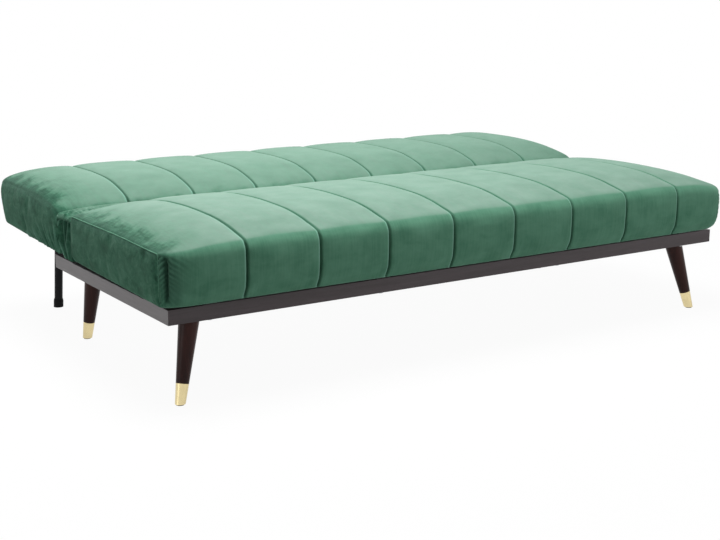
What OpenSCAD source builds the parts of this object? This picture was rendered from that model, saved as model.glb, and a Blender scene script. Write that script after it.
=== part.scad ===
// Click-clack sofa bed, folded flat. Millimetres, +Z up, floor at Z 0.
// +X runs along the bed, -Y is the seat's front, +Y the back's outer edge.

/* [Bed] */
// Length of both cushions over their end panels
bed_length = 1800; // [1500:10:2100]
// Depth of the seat cushion, front face to rear face
seat_depth = 592; // [540:1:680]
// Gap between seat and back cushion, filled by the folded gusset
fold_gap = 58; // [52:1:90]
// Depth of the back cushion along the flat bed
back_depth = 492; // [440:1:600]
// Number of sewn channels across each cushion
channel_count = 9; // [5:1:13]
// Extra width of the two end channels
end_channel_extra = 4.5; // [0:0.5:20]

/* [Base frame] */
// How far the end rails stand in from the cushions' ends
rail_inset = 25; // [18:1:45]
// How far the frame reaches out behind the seat cushion
rear_reach = 175; // [165:1:240]
// Height of every rail
rail_height = 36; // [30:1:60]
// Thickness of every rail
rail_thickness = 22; // [18:1:30]
// Room under the rails
leg_clearance = 203; // [150:1:260]
// How far the seat cushion stands out in front of the front rail
seat_overhang = 47; // [20:1:70]
// Distance of the two inner cross rails from the middle
cross_rail_x = 290; // [150:10:400]
// Side of a corner block
block_side = 120; // [90:5:130]
// Inset of the outer seat bolts from the rails' inner faces
bolt_inset = 88; // [70:1:160]

/* [Legs] */
// Leg diameter at the plate
leg_top_d = 51; // [40:1:60]
// Leg diameter at the floor
leg_foot_d = 25; // [20:1:34]
// Length of the brass ferrule
ferrule_length = 50; // [30:1:80]
// Wall of the brass ferrule
ferrule_wall = 1.2; // [0.8:0.1:2]
// Inset of a leg's top from the rails' outer corner, along the bed
leg_inset_x = 84; // [78:1:110]
// Inset of a leg's top from the rails' outer corner, across the bed
leg_inset_y = 66; // [62:1:100]
// Sideways splay of the front legs, run over height
front_splay_x = 0.23; // [0:0.01:0.3]
// Sideways splay of the rear legs, run over height
rear_splay_x = 0.08; // [0:0.01:0.3]
// Fore and aft splay of all four legs, run over height
splay_y = 0.17; // [0:0.01:0.3]
// Thickness of the steel leg plates
leg_plate_t = 2; // [1.5:0.5:4]
// Height of the glides under the legs
glide_height = 2.5; // [2:0.5:6]

/* [Cushions] */
// Gap between the rails and the seat's underside
seat_lift = 11; // [6:1:24]
// Height of the seat's end seam over its underside
seat_edge_height = 131; // [110:1:160]
// Height of the seat's crown over its underside
seat_crown_height = 178; // [165:1:210]
// Height of the back's end seam over the seat's underside
back_edge_height = 143; // [120:1:170]
// Height of the back's crown over the seat's underside
back_crown_height = 188; // [170:1:220]
// Thickness of a cover: velvet with its wadding
cover_t = 4; // [3:0.5:6]
// Width of a sewn seam groove
seam_width = 5; // [3:0.5:8]
// Depth of a sewn seam groove
seam_depth = 2.5; // [1:0.5:2.5]
// Thickness of the black cloth under each cushion
dust_cloth_t = 1.5; // [1:0.5:3]
// Clearance round the foam inside a cover
foam_clearance = 0.4; // [0.3:0.1:1]

/* [Steel frames] */
// Side of the square frame tubes
tube_side = 25; // [20:1:30]
// Wall of the square frame tubes
tube_wall = 2; // [1.5:0.5:3]
// Wire diameter of the sinuous springs
wire_d = 3.8; // [3:0.1:5]
// Radius of one spring loop
loop_r = 24; // [16:1:30]
// Springs in each cushion
spring_count = 7; // [4:1:9]
// Room between the outer springs' middle and the side tubes
spring_margin = 180; // [60:5:200]

/* [Fold mechanism] */
// Largest angle that the back turns up
fold_angle = 72; // [60:1:75]
// Height of the fold pivot over the seat's underside
pivot_height = 88; // [84:1:96]
// Radius of the toothed disc on the back bracket
disc_r = 26; // [24:1:28]
// Depth of a notch in the disc
notch_depth = 5.2; // [4.8:0.1:6]
// Width of a notch in the disc
notch_width = 8; // [7.5:0.5:10]
// Thickness of the back bracket and the pawl
bracket_t = 5; // [4:0.5:8]
// Thickness of the two cheeks beside the bracket
cheek_t = 4; // [3:0.5:6]
// Play on each side of the bracket
side_play = 0.5; // [0.3:0.1:1]
// Diameter of the pivot pin
pivot_d = 12; // [10:0.5:16]
// Diameter of the pawl pin
pawl_pin_d = 6; // [5:0.5:8]
// Radial running clearance of both moving bores
running_clearance = 0.05; // [0.02:0.01:0.1]
// Diameter of the mechanism bolts
bolt_d = 8; // [6:1:10]

/* [Rear support legs] */
// Inset of the support legs from the cushion's ends
support_inset = 150; // [120:5:300]
// Outer diameter of the support tube
support_d = 24; // [20:1:30]
// Wall of the support tube
support_wall = 2; // [1.5:0.5:3]
// How far the tube's foot stands behind its top
support_run = 42; // [0:1:50]
// Outer diameter of the rubber foot
rubber_d = 28.5; // [26:0.5:36]
// Length of the rubber foot
rubber_length = 26; // [18:1:40]

/* [Hidden] */

$fn = 48;
eps = 0.01;
arc_steps = 5;
// Longer, and higher, than the whole bed, for cutting tools
far = 4000;
tall = 400;

wood = "#3f393b";
leg_wood = "#40302f";
brass = "#c3a36b";
steel = "#1b1b1d";
zinc = "#9a9da1";
rubber = "#0d0d0e";
velvet = "#4f8468";
foam = "#efe6cf";
cloth = "#161616";

// Places across the bed
bed_depth = seat_depth + fold_gap + back_depth;
front_y = -bed_depth/2;
seat_rear_y = front_y + seat_depth;
back_inner_y = seat_rear_y + fold_gap;
rear_y = bed_depth/2;
rail_front_y = front_y + seat_overhang;
rail_rear_y = seat_rear_y + rear_reach;
half_bed = bed_length/2;
half_rail = half_bed - rail_inset;
channel_pitch = (bed_length - 2*end_channel_extra)/channel_count;

// Heights
rail_top = leg_clearance + rail_height;
seat_z = rail_top + seat_lift;
tube_z = seat_z + dust_cloth_t;
tube_top = tube_z + tube_side;
spring_z = tube_top + wire_d/2;
spring_to_foam = 5;
seat_foam_z = tube_top + wire_d + spring_to_foam;
back_rise = 25;
back_tube_z = tube_z + back_rise + 3;
back_tube_top = back_tube_z + tube_side;
back_spring_z = back_tube_top + wire_d/2;
back_foam_z = back_tube_top + wire_d + spring_to_foam;
pivot_y = back_inner_y - 2;
pivot_z = seat_z + pivot_height;

// Steel frames
end_padding = 50;
side_tube_x = half_bed - end_padding - tube_side;
seat_front_tube_y = rail_front_y + rail_thickness/2 - tube_side/2;
seat_rear_tube_y = seat_rear_y - cover_t - 2 - tube_side;
bearer_y = seat_rear_tube_y + tube_side/2 - rail_thickness/2;
back_inner_tube_y = back_inner_y + 64;
back_outer_tube_y = rear_y - 72;
bolt_rows = [rail_front_y + rail_thickness/2, bearer_y + rail_thickness/2];
outer_bolt_x = half_rail - rail_thickness - bolt_inset;
bolt_columns = [-outer_bolt_x, -cross_rail_x, cross_rail_x, outer_bolt_x];
seat_bolt_d = 6;
spring_pitch = 2*(side_tube_x - spring_margin)/(spring_count - 1);

// Fold mechanism, as a stack along X outwards from the seat's side tube
cheek_x = side_tube_x + tube_side;
bracket_x = cheek_x + cheek_t + side_play;
outer_cheek_x = bracket_x + bracket_t + side_play;
outer_cheek_t = 3;
stack_end_x = outer_cheek_x + outer_cheek_t;
pin_head_t = 3;
back_side_tube_x = bracket_x - tube_side;
chamber_x = cheek_x - 8;
chamber_end_x = stack_end_x + pin_head_t + 4;
chamber_top = pivot_z + disc_r + 6;
pawl_bearing = 200;
pawl_reach = 35;
pawl_gap = 0.6;
nose_r = disc_r + pawl_gap;
pawl_boss_r = 8;
pawl_y = pivot_y + nose_r*cos(pawl_bearing) - pawl_reach*sin(pawl_bearing);
pawl_z = pivot_z + nose_r*sin(pawl_bearing) + pawl_reach*cos(pawl_bearing);
seat_bolt_y = [seat_rear_y - 130, seat_rear_y - 40];
back_bolt_y = [back_inner_y + 100, back_inner_y + 180];

// Rear support legs
support_x = half_bed - support_inset;
support_top_z = back_tube_z;
flange_t = 3;
flange_side = 56;
support_top_y = back_outer_tube_y + 1;
support_foot_y = support_top_y + support_run;
support_tilt = atan2(support_run, support_top_z);

// ---- Outlines -------------------------------------------------------

// Points of an arc that rounds the corner p between a and b
function unit(v) = v/norm(v);
function corner(a, p, b, r) =
    let (u = unit(a - p), v = unit(b - p), half = acos(max(-1, min(1, u*v)))/2,
         reach = r/tan(half), centre = p + unit(u + v)*r/sin(half),
         p0 = p + u*reach - centre, p1 = p + v*reach - centre,
         a0 = atan2(p0[1], p0[0]), turn = atan2(p1[1], p1[0]) - a0,
         swing = turn > 180 ? turn - 360 : turn < -180 ? turn + 360 : turn)
    [for (i = [0:arc_steps]) centre + r*[cos(a0 + swing*i/arc_steps), sin(a0 + swing*i/arc_steps)]];

// Closed outline from [y, z, corner radius] points
function rounded(pts) =
    let (n = len(pts))
    [for (i = [0:n - 1])
        let (a = pts[(i + n - 1) % n], p = pts[i], b = pts[(i + 1) % n])
        each p[2] == 0 ? [[p[0], p[1]]]
            : corner([a[0], a[1]], [p[0], p[1]], [b[0], b[1]], p[2])];

// Extrude an outline drawn in Y and Z along X, from x0 for a length
module along_x(x0, length) {
    translate([x0, 0, 0]) rotate([90, 0, 90]) linear_extrude(length) children();
}

// Seat section, shrunk by t; drop lets the bottom run on downwards
module seat_section(t = 0, drop = 0) {
    crown = seat_z + seat_crown_height - t;
    back_top = seat_z + seat_edge_height + 22 - t;
    front = front_y + t;
    rear = seat_rear_y - t;
    bottom = seat_z - drop;
    tuck = 26;
    depth = seat_depth;
    polygon(rounded([
        [front + tuck, bottom, 0],
        [front + tuck, seat_z + eps, 0],
        [front, seat_z + 34, 20],
        [front, crown - 36, 30],
        [front + 0.25*depth, crown - 10, 0.2*depth],
        [front + 0.6*depth, crown, 0.4*depth],
        [rear - 0.25*depth, crown - 4, 0.2*depth],
        [rear, back_top - 12, 24],
        [rear, bottom, 0]]));
}

// Back section, shrunk by t
module back_section(t = 0, drop = 0) {
    crown = seat_z + back_crown_height - t;
    inner = back_inner_y + t;
    outer = rear_y - t;
    bottom = seat_z + 10 - drop;
    depth = back_depth;
    polygon(rounded([
        [inner, bottom, 0],
        [inner, pivot_z + 14 - t, 10],
        [inner + 44, seat_z + 150 - t, 40],
        [inner + 0.3*depth, crown - 7, 0.24*depth],
        [inner + 0.6*depth, crown, 0.4*depth],
        [outer - 20, crown - 2, 40],
        [outer, seat_z + 140, 24],
        [outer, seat_z + 96, 30],
        [outer - 36, seat_z + back_rise + 2, 0],
        [outer - 36, bottom + (drop > 0 ? 0 : back_rise - 10), 0]]));
}

// End view of a cushion, crowned to both ends; edge is the end seam's height
module end_view(edge, crown, t = 0, drop = 0) {
    end_x = half_bed - t;
    top = seat_z + crown - t + 1;
    shoulder = seat_z + edge - t;
    half_view = [
        [end_x, seat_z - drop, 0],
        [end_x, shoulder, 14],
        [end_x - 52, top - 14, 60],
        [end_x - 130, top, 90]];
    polygon(rounded(concat(half_view,
        [for (i = [3:-1:0]) [-half_view[i][0], half_view[i][1], half_view[i][2]]])));
}

// Plan of the whole bed with rounded corners
module plan(t = 0) {
    r = 38 - t;
    x = half_bed - t;
    y = bed_depth/2 - t;
    polygon(rounded([[-x, -y, r], [x, -y, r], [x, y, r], [-x, y, r]]));
}

module seat_block(t = 0, drop = 0) {
    intersection() {
        along_x(-half_bed + t, bed_length - 2*t) seat_section(t, drop);
        translate([0, rear_y, 0]) rotate([90, 0, 0])
            linear_extrude(bed_depth) end_view(seat_edge_height, seat_crown_height, t, drop);
        translate([0, 0, seat_z - drop]) linear_extrude(tall) plan(t);
    }
}

module back_block(t = 0, drop = 0) {
    intersection() {
        along_x(-half_bed + t, bed_length - 2*t) back_section(t, drop);
        translate([0, rear_y, 0]) rotate([90, 0, 0])
            linear_extrude(bed_depth) end_view(back_edge_height, back_crown_height, t, drop);
        translate([0, 0, seat_z - drop]) linear_extrude(tall) plan(t);
    }
}

// Seam places along the bed
seam_x = [for (i = [1:channel_count - 1]) (i - channel_count/2)*channel_pitch];

// ---- Small shared parts ---------------------------------------------

// Square tube along X (axis 0) or Y (axis 1), from its low corner
module square_tube(at, length, axis) {
    size = axis == 0 ? [length, tube_side, tube_side] : [tube_side, length, tube_side];
    bore = size - 2*tube_wall*[axis == 0 ? 0 : 1, axis == 0 ? 1 : 0, 1];
    through = axis == 0 ? [eps, 0, 0] : [0, eps, 0];
    translate(at) difference() {
        cube(size);
        translate([axis == 0 ? 0 : tube_wall, axis == 0 ? tube_wall : 0, tube_wall] - through)
            cube(bore + 2*through);
    }
}

module at_seat_bolts() {
    for (x = bolt_columns, y = bolt_rows) translate([x, y, 0]) children();
}

module seat_bolt_holes() {
    at_seat_bolts() translate([0, 0, leg_clearance - 1])
        cylinder(d = seat_bolt_d, h = tube_z + tube_wall - leg_clearance + 2);
}

module bolt_bore_x(y, z, d, x0, x1) {
    translate([x0, y, z]) rotate([0, 90, 0]) cylinder(d = d, h = x1 - x0);
}

// Bolt along X with a hexagon head outside and a nut inside
module bolt_x(y, z, x0, x1) {
    bolt_bore_x(y, z, bolt_d, x0, x1);
    translate([x1, y, z]) rotate([0, 90, 0]) cylinder(d = 1.8*bolt_d, h = 4, $fn = 6);
    translate([x0 - 5, y, z]) rotate([0, 90, 0]) cylinder(d = 1.8*bolt_d, h = 5, $fn = 6);
}

// One sinuous spring along Y: semicircle loops joined by straight runs
module sinuous_spring(y0, y1, z) {
    reach = 16;
    span = y1 - y0 - 2*reach;
    loops = floor(span/(2*loop_r));
    start = (y0 + y1)/2 - loops*loop_r;
    run = 20;
    translate([0, y0, z]) rotate([-90, 0, 0]) translate([-run/2, 0, 0])
        cylinder(d = wire_d, h = start - y0, $fn = 16);
    for (i = [0:loops - 1]) {
        side = i % 2 == 0 ? 1 : -1;
        translate([side*run/2, start + (2*i + 1)*loop_r, z]) rotate([0, 0, side > 0 ? -90 : 90])
            rotate_extrude(angle = 180, $fn = 24) translate([loop_r, 0]) circle(d = wire_d, $fn = 16);
    }
    for (i = [0:loops]) translate([-run/2, start + 2*i*loop_r, z]) rotate([0, 90, 0])
        cylinder(d = wire_d, h = run, $fn = 16);
    last = loops % 2 == 0 ? -1 : 1;
    translate([last*run/2, start + 2*loops*loop_r, z]) rotate([-90, 0, 0])
        cylinder(d = wire_d, h = y1 - start - 2*loops*loop_r, $fn = 16);
}

module springs(y0, y1, z) {
    for (i = [0:spring_count - 1])
        translate([(i - (spring_count - 1)/2)*spring_pitch, 0, 0]) sinuous_spring(y0, y1, z);
}

// ---- Base frame -----------------------------------------------------

// Rail along X with mitred ends; face is the outer face's Y, inward its sense
module long_rail(face, inward) {
    inner = face + inward*rail_thickness;
    translate([0, 0, leg_clearance]) linear_extrude(rail_height) polygon([
        [-half_rail, face], [half_rail, face],
        [half_rail - rail_thickness, inner], [-half_rail + rail_thickness, inner]]);
}

module end_rail(side) {
    inner = half_rail - rail_thickness;
    translate([0, 0, leg_clearance]) linear_extrude(rail_height) polygon([
        [side*half_rail, rail_front_y], [side*half_rail, rail_rear_y],
        [side*inner, rail_rear_y - rail_thickness], [side*inner, rail_front_y + rail_thickness]]);
}

module front_rail() {
    color(wood) difference() {
        long_rail(rail_front_y, 1);
        seat_bolt_holes();
    }
}

module rear_rail() {
    color(wood) long_rail(rail_rear_y, -1);
}

module seat_bearer() {
    inner = half_rail - rail_thickness;
    color(wood) difference() {
        translate([-inner, bearer_y, leg_clearance]) cube([2*inner, rail_thickness, rail_height]);
        seat_bolt_holes();
    }
}

module cross_rail(x) {
    y0 = rail_front_y + rail_thickness;
    color(wood) translate([x - rail_thickness/2, y0, leg_clearance])
        cube([rail_thickness, bearer_y - y0, rail_height]);
}

// Moves a piece to a corner between the rails: side is -1 or 1 along X, end along Y
module at_corner(side, end) {
    translate([side*(half_rail - rail_thickness),
        end > 0 ? rail_rear_y - rail_thickness : rail_front_y + rail_thickness, 0]) children();
}

module corner_block(side, end) {
    nose = block_side*0.45;
    at_corner(side, end) translate([0, 0, leg_clearance]) linear_extrude(rail_height) polygon([
        [0, 0], [-side*block_side, 0], [-side*block_side, -end*nose],
        [-side*nose, -end*block_side], [0, -end*block_side]]);
}

module corner_blocks() {
    color(wood) difference() {
        for (side = [-1, 1], end = [-1, 1]) corner_block(side, end);
        for (side = [-1, 1], end = [-1, 1]) leg_bolt_shank(side, end);
    }
}

// ---- Legs -----------------------------------------------------------

leg_top_z = leg_clearance - leg_plate_t;
leg_bolt_d = 8;
function leg_run_x(end) = end > 0 ? rear_splay_x : front_splay_x;

// Leg axis frame: origin on the floor under the foot, Z along the leg
module on_leg(side, end) {
    rx = side*leg_run_x(end);
    ry = end*splay_y;
    top_x = side*(half_rail - leg_inset_x);
    top_y = end > 0 ? rail_rear_y - leg_inset_y : rail_front_y + leg_inset_y;
    run = norm([rx, ry]);
    translate([top_x + rx*leg_top_z, top_y + ry*leg_top_z, 0])
        rotate([0, 0, atan2(-ry, -rx)]) rotate([0, atan(run), 0]) children();
}

leg_slant = sqrt(1 + pow(front_splay_x, 2) + pow(splay_y, 2));
leg_axis_length = leg_top_z*leg_slant;

// Leg's radius at a distance s along its axis
function leg_r(s) = leg_foot_d/2 + (leg_top_d - leg_foot_d)/2*s/leg_axis_length;

module leg_cone(s0, s1, grow = 0) {
    translate([0, 0, s0]) cylinder(r1 = leg_r(s0) + grow, r2 = leg_r(s1) + grow, h = s1 - s0);
}

module slab(z0, z1) {
    translate([-far/2, -far/2, z0]) cube([far, far, z1 - z0]);
}

module leg_bolt_shank(side, end) {
    on_leg(side, end) translate([0, 0, leg_top_z - 40])
        cylinder(d = leg_bolt_d, h = 40 + rail_height - 4);
}

module leg(side, end) {
    color(leg_wood) difference() {
        intersection() {
            on_leg(side, end) union() {
                leg_cone(-10, ferrule_length, -ferrule_wall);
                leg_cone(ferrule_length, leg_axis_length + 20);
            }
            slab(glide_height + ferrule_wall, leg_top_z);
        }
        leg_bolt_shank(side, end);
    }
}

module ferrule(side, end) {
    color(brass) difference() {
        intersection() {
            on_leg(side, end) leg_cone(-10, ferrule_length);
            slab(glide_height, far/2);
        }
        intersection() {
            on_leg(side, end) leg_cone(-12, ferrule_length + 1, -ferrule_wall);
            slab(glide_height + ferrule_wall, far/2);
        }
    }
}

module leg_glides() {
    glide_d = leg_foot_d - 6;
    color(rubber) for (side = [-1, 1], end = [-1, 1]) {
        top_x = side*(half_rail - leg_inset_x + leg_run_x(end)*leg_top_z);
        top_y = end > 0 ? rail_rear_y - leg_inset_y : rail_front_y + leg_inset_y;
        translate([top_x, top_y + end*splay_y*leg_top_z, 0]) cylinder(d = glide_d, h = glide_height);
    }
}

module leg_plates() {
    side_length = 78;
    color(steel) for (side = [-1, 1], end = [-1, 1]) difference() {
        translate([side*(half_rail - leg_inset_x),
            end > 0 ? rail_rear_y - leg_inset_y : rail_front_y + leg_inset_y, leg_top_z])
            linear_extrude(leg_plate_t) polygon(rounded([for (c = [[-1, -1], [1, -1], [1, 1], [-1, 1]])
                [c[0]*side_length/2, c[1]*side_length/2, 8]]));
        leg_bolt_shank(side, end);
    }
}

module leg_bolts() {
    color(zinc) for (side = [-1, 1], end = [-1, 1]) leg_bolt_shank(side, end);
}

// ---- Seat -----------------------------------------------------------

module seat_spacers() {
    color(rubber) difference() {
        at_seat_bolts() translate([-20, -rail_thickness/2, rail_top])
            cube([40, rail_thickness, seat_lift]);
        seat_bolt_holes();
    }
}

module seat_bolts() {
    color(zinc) at_seat_bolts() {
        translate([0, 0, leg_clearance]) cylinder(d = seat_bolt_d, h = tube_z + tube_wall - leg_clearance);
        translate([0, 0, leg_clearance - 3]) cylinder(d = 2*seat_bolt_d, h = 3);
        translate([0, 0, tube_z + tube_wall]) cylinder(d = 1.8*seat_bolt_d, h = 5, $fn = 6);
    }
}

module seat_cross_pair(y) {
    color(steel) difference() {
        square_tube([-side_tube_x, y, tube_z], 2*side_tube_x, 0);
        seat_bolt_holes();
    }
}

module seat_side_tube(side) {
    x = side > 0 ? side_tube_x : -side_tube_x - tube_side;
    color(steel) difference() {
        square_tube([x, seat_front_tube_y, tube_z], seat_rear_tube_y + tube_side - seat_front_tube_y, 1);
        for (y = seat_bolt_y) bolt_bore_x(y, tube_z + tube_side/2, bolt_d, -far/2, far/2);
    }
}

module seat_cross_tubes() {
    y0 = seat_front_tube_y + tube_side;
    color(steel) for (side = [-1, 1])
        square_tube([side*cross_rail_x - tube_side/2, y0, tube_z], seat_rear_tube_y - y0, 1);
}

module seat_springs() {
    color(zinc) springs(seat_front_tube_y + 6, seat_rear_tube_y + tube_side - 6, spring_z);
}

// Room for one fold mechanism inside the end of a cushion
module chamber(side, y0, y1, top) {
    x0 = side > 0 ? chamber_x : -chamber_end_x;
    translate([x0, y0, seat_z - 60]) cube([chamber_end_x - chamber_x, y1 - y0, top - seat_z + 60]);
}

module seat_foam() {
    color(foam) difference() {
        seat_block(cover_t + foam_clearance, 40);
        translate([-far/2, -far/2, seat_z - 60]) cube([far, far, seat_foam_z - seat_z + 60]);
        for (side = [-1, 1]) chamber(side, seat_rear_y - 160, seat_rear_y + 1, chamber_top);
    }
}

module seat_cover() {
    color(velvet) difference() {
        seat_block();
        seat_block(cover_t, 40);
        for (x = seam_x) seat_seam(x);
        for (side = [-1, 1])
            chamber(side, seat_rear_y - 2*cover_t, seat_rear_y + 1, chamber_top);
    }
}

module seat_seam(x) {
    along_x(x - seam_width/2, seam_width) difference() {
        translate([front_y - 5, seat_z - 5]) square([seat_depth + 10, tall]);
        seat_section(seam_depth, 10);
        translate([seat_rear_y - 40, seat_z - 5]) square([60, seat_edge_height - 30]);
    }
}

module seat_dust_cloth() {
    color(cloth) difference() {
        translate([0, 0, seat_z]) intersection() {
            linear_extrude(dust_cloth_t) plan(cover_t + 1);
            translate([-half_bed, seat_front_tube_y - 6, 0])
                cube([bed_length, seat_rear_tube_y + tube_side + 6 - seat_front_tube_y, 10]);
        }
        seat_bolt_holes();
    }
}

// ---- Back -----------------------------------------------------------

module back_cross_pair(y) {
    color(steel) square_tube([-back_side_tube_x, y, back_tube_z], 2*back_side_tube_x, 0);
}

module back_side_tube(side) {
    x = side > 0 ? back_side_tube_x : -back_side_tube_x - tube_side;
    color(steel) difference() {
        square_tube([x, back_inner_tube_y, back_tube_z],
            back_outer_tube_y + tube_side - back_inner_tube_y, 1);
        for (y = back_bolt_y) bolt_bore_x(y, back_tube_z + tube_side/2, bolt_d, -far/2, far/2);
    }
}

module back_cross_tubes() {
    y0 = back_inner_tube_y + tube_side;
    color(steel) for (side = [-1, 1])
        square_tube([side*cross_rail_x - tube_side/2, y0, back_tube_z], back_outer_tube_y - y0, 1);
}

module back_springs() {
    color(zinc) springs(back_inner_tube_y + 6, back_outer_tube_y + tube_side - 6, back_spring_z);
}

module back_foam() {
    nose_y = back_inner_tube_y - 4;
    color(foam) difference() {
        back_block(cover_t + foam_clearance, 40);
        translate([-far/2, nose_y, 0]) cube([far, far, back_foam_z]);
        translate([-far/2, 0, 0]) cube([far, far, seat_z + 20]);
        for (side = [-1, 1]) chamber(side, back_inner_y - 1, back_bolt_y[1] + 40, chamber_top);
    }
}

module back_cover() {
    color(velvet) difference() {
        back_block();
        back_block(cover_t, 40);
        for (x = seam_x) back_seam(x);
        for (side = [-1, 1])
            chamber(side, back_inner_y - 1, back_inner_y + 40, chamber_top);
    }
}

module back_seam(x) {
    along_x(x - seam_width/2, seam_width) difference() {
        translate([back_inner_y - 5, seat_z - 5]) square([back_depth + 10, tall]);
        back_section(seam_depth, 40);
        translate([back_inner_y - 10, seat_z - 5]) square([50, pivot_height + 10]);
    }
}

// Black cloth under the back: it slopes up to the outer edge as the cover does
module back_dust_cloth() {
    y0 = back_inner_y + cover_t + 1;
    y1 = rear_y - 44;
    z0 = seat_z + 11;
    z1 = seat_z + back_rise - 2;
    color(cloth) difference() {
        along_x(-half_bed + cover_t + 8, bed_length - 2*cover_t - 16)
            polygon([[y0, z0], [y1, z1], [y1, z1 + dust_cloth_t], [y0, z0 + dust_cloth_t]]);
        for (side = [-1, 1]) on_support(side) translate([0, 0, support_length() - 60])
            cylinder(d = support_d + 4, h = 90);
    }
}

// ---- Rear support legs ----------------------------------------------

function support_length() = support_top_z/cos(support_tilt);

// Support leg frame: origin on the floor, Z along the tube
module on_support(side) {
    translate([side*support_x, support_foot_y, 0]) rotate([support_tilt, 0, 0]) children();
}

module support_leg(side) {
    color(steel) difference() {
        union() {
            intersection() {
                on_support(side) translate([0, 0, 4]) cylinder(d = support_d, h = support_length() + 10);
                slab(0, support_top_z - flange_t);
            }
            translate([side*support_x - flange_side/2, support_top_y - flange_side/2,
                support_top_z - flange_t]) cube([flange_side, flange_side, flange_t]);
        }
        intersection() {
            on_support(side) cylinder(d = support_d - 2*support_wall, h = support_length() + 10);
            slab(-1, support_top_z - flange_t);
        }
    }
}

module rubber_foot(side) {
    color(rubber) intersection() {
        on_support(side) difference() {
            union() {
                translate([0, 0, -6]) cylinder(d = rubber_d, h = rubber_length);
                translate([0, 0, rubber_length - 6]) cylinder(d1 = rubber_d, d2 = support_d + 1.6, h = 6);
            }
            translate([0, 0, 4]) cylinder(d = support_d, h = rubber_length + 10);
        }
        slab(0, far/2);
    }
}

// ---- Fold mechanism -------------------------------------------------

// Draws a right-hand piece, or its mirror image at the left end
module handed(side) {
    mirror([side > 0 ? 0 : 1, 0, 0]) children();
}

module plate(x, t) {
    along_x(x, t) children();
}

// Cheek head that covers the disc and the pawl, from x for a thickness t
module cheek_head(x, t) {
    low = pawl_z - pawl_boss_r - 4;
    bolt_bore_x(pivot_y, pivot_z, 2*disc_r + 2, x, x + t);
    plate(x, t) polygon(rounded([
        [pivot_y, pivot_z, 0],
        [pivot_y + disc_r - 1, pivot_z - 5, 0],
        [pawl_y + pawl_boss_r + 6, low, 8],
        [pawl_y - 28, low, 8],
        [pawl_y - 30, pivot_z - 2, 6],
        [pivot_y - disc_r + 3, pivot_z + 11, 0]]));
}

module inner_cheek() {
    foot_y = seat_bolt_y[0] - 18;
    color(zinc) difference() {
        union() {
            cheek_head(cheek_x, cheek_t);
            plate(cheek_x, cheek_t) polygon(rounded([
                [foot_y, tube_z + 1, 6],
                [seat_rear_y - 6, tube_z + 1, 10],
                [pawl_y + pawl_boss_r + 3, pawl_z - 11, 0],
                [pivot_y - disc_r - 6, pivot_z - 6, 0],
                [seat_rear_y - 60, tube_top + 4, 20],
                [foot_y, tube_top + 2, 6]]));
        }
        bolt_bore_x(pivot_y, pivot_z, pivot_d, 0, far/2);
        bolt_bore_x(pawl_y, pawl_z, pawl_pin_d, 0, far/2);
        for (y = seat_bolt_y) bolt_bore_x(y, tube_z + tube_side/2, bolt_d, 0, far/2);
    }
}

module outer_cheek() {
    color(zinc) difference() {
        union() cheek_head(outer_cheek_x, outer_cheek_t);
        bolt_bore_x(pivot_y, pivot_z, pivot_d, 0, far/2);
        bolt_bore_x(pawl_y, pawl_z, pawl_pin_d, 0, far/2);
    }
}

// Notches face the pawl when the back is flat, half up and upright
notch_bearings = [for (turn = [0, fold_angle/2, fold_angle]) pawl_bearing - turn];

module back_bracket() {
    y1 = back_bolt_y[1] + 20;
    color(zinc) difference() {
        union() {
            bolt_bore_x(pivot_y, pivot_z, 2*disc_r, bracket_x, bracket_x + bracket_t);
            plate(bracket_x, bracket_t) polygon(rounded([
                [pivot_y + 6, pivot_z - disc_r + 6, 0],
                [back_bolt_y[0] - 30, back_tube_z + 1, 12],
                [y1, back_tube_z + 1, 6],
                [y1, back_tube_top - 1, 6],
                [back_bolt_y[0] - 10, back_tube_top + 3, 20],
                [pivot_y + disc_r - 2, pivot_z + 4, 0]]));
        }
        bolt_bore_x(pivot_y, pivot_z, pivot_d + 2*running_clearance, 0, far/2);
        for (y = back_bolt_y) bolt_bore_x(y, back_tube_z + tube_side/2, bolt_d, 0, far/2);
        for (bearing = notch_bearings)
            translate([0, pivot_y, pivot_z]) rotate([bearing, 0, 0])
                translate([bracket_x - 1, disc_r - notch_depth, -notch_width/2])
                    cube([bracket_t + 2, notch_depth + 10, notch_width]);
    }
}

module pivot_pin() {
    color(zinc) {
        bolt_bore_x(pivot_y, pivot_z, pivot_d, cheek_x, stack_end_x);
        bolt_bore_x(pivot_y, pivot_z, pivot_d + 8, stack_end_x, stack_end_x + pin_head_t);
        bolt_bore_x(pivot_y, pivot_z, pivot_d + 8, cheek_x - pin_head_t, cheek_x);
    }
}

module pawl_pin() {
    color(zinc) {
        bolt_bore_x(pawl_y, pawl_z, pawl_pin_d, cheek_x, stack_end_x);
        bolt_bore_x(pawl_y, pawl_z, pawl_pin_d + 5, stack_end_x, stack_end_x + pin_head_t);
        bolt_bore_x(pawl_y, pawl_z, pawl_pin_d + 5, cheek_x - pin_head_t, cheek_x);
    }
}

// Pawl: a boss on its pin, an arm beside the disc and a nose towards the pivot
module pawl() {
    nose = 5;
    color(zinc) difference() {
        translate([0, pawl_y, pawl_z]) rotate([pawl_bearing - 180, 0, 0]) union() {
            translate([bracket_x, 0, 0]) rotate([0, 90, 0]) cylinder(r = pawl_boss_r, h = bracket_t);
            plate(bracket_x, bracket_t) polygon(rounded([
                [-pawl_boss_r + 0.2, 0, 0],
                [2, 0, 0],
                [-nose, 16, 10],
                [-nose, pawl_reach - 3.5, 0],
                [0, pawl_reach - 2.5, 0],
                [0, pawl_reach + 2.5, 0],
                [-nose, pawl_reach + 3.5, 0],
                [-nose - 2, pawl_reach + 8, 0],
                [-14, pawl_reach + 8, 3],
                [-14, 16, 10]]));
        }
        bolt_bore_x(pawl_y, pawl_z, pawl_pin_d + 2*running_clearance, 0, far/2);
    }
}

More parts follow.
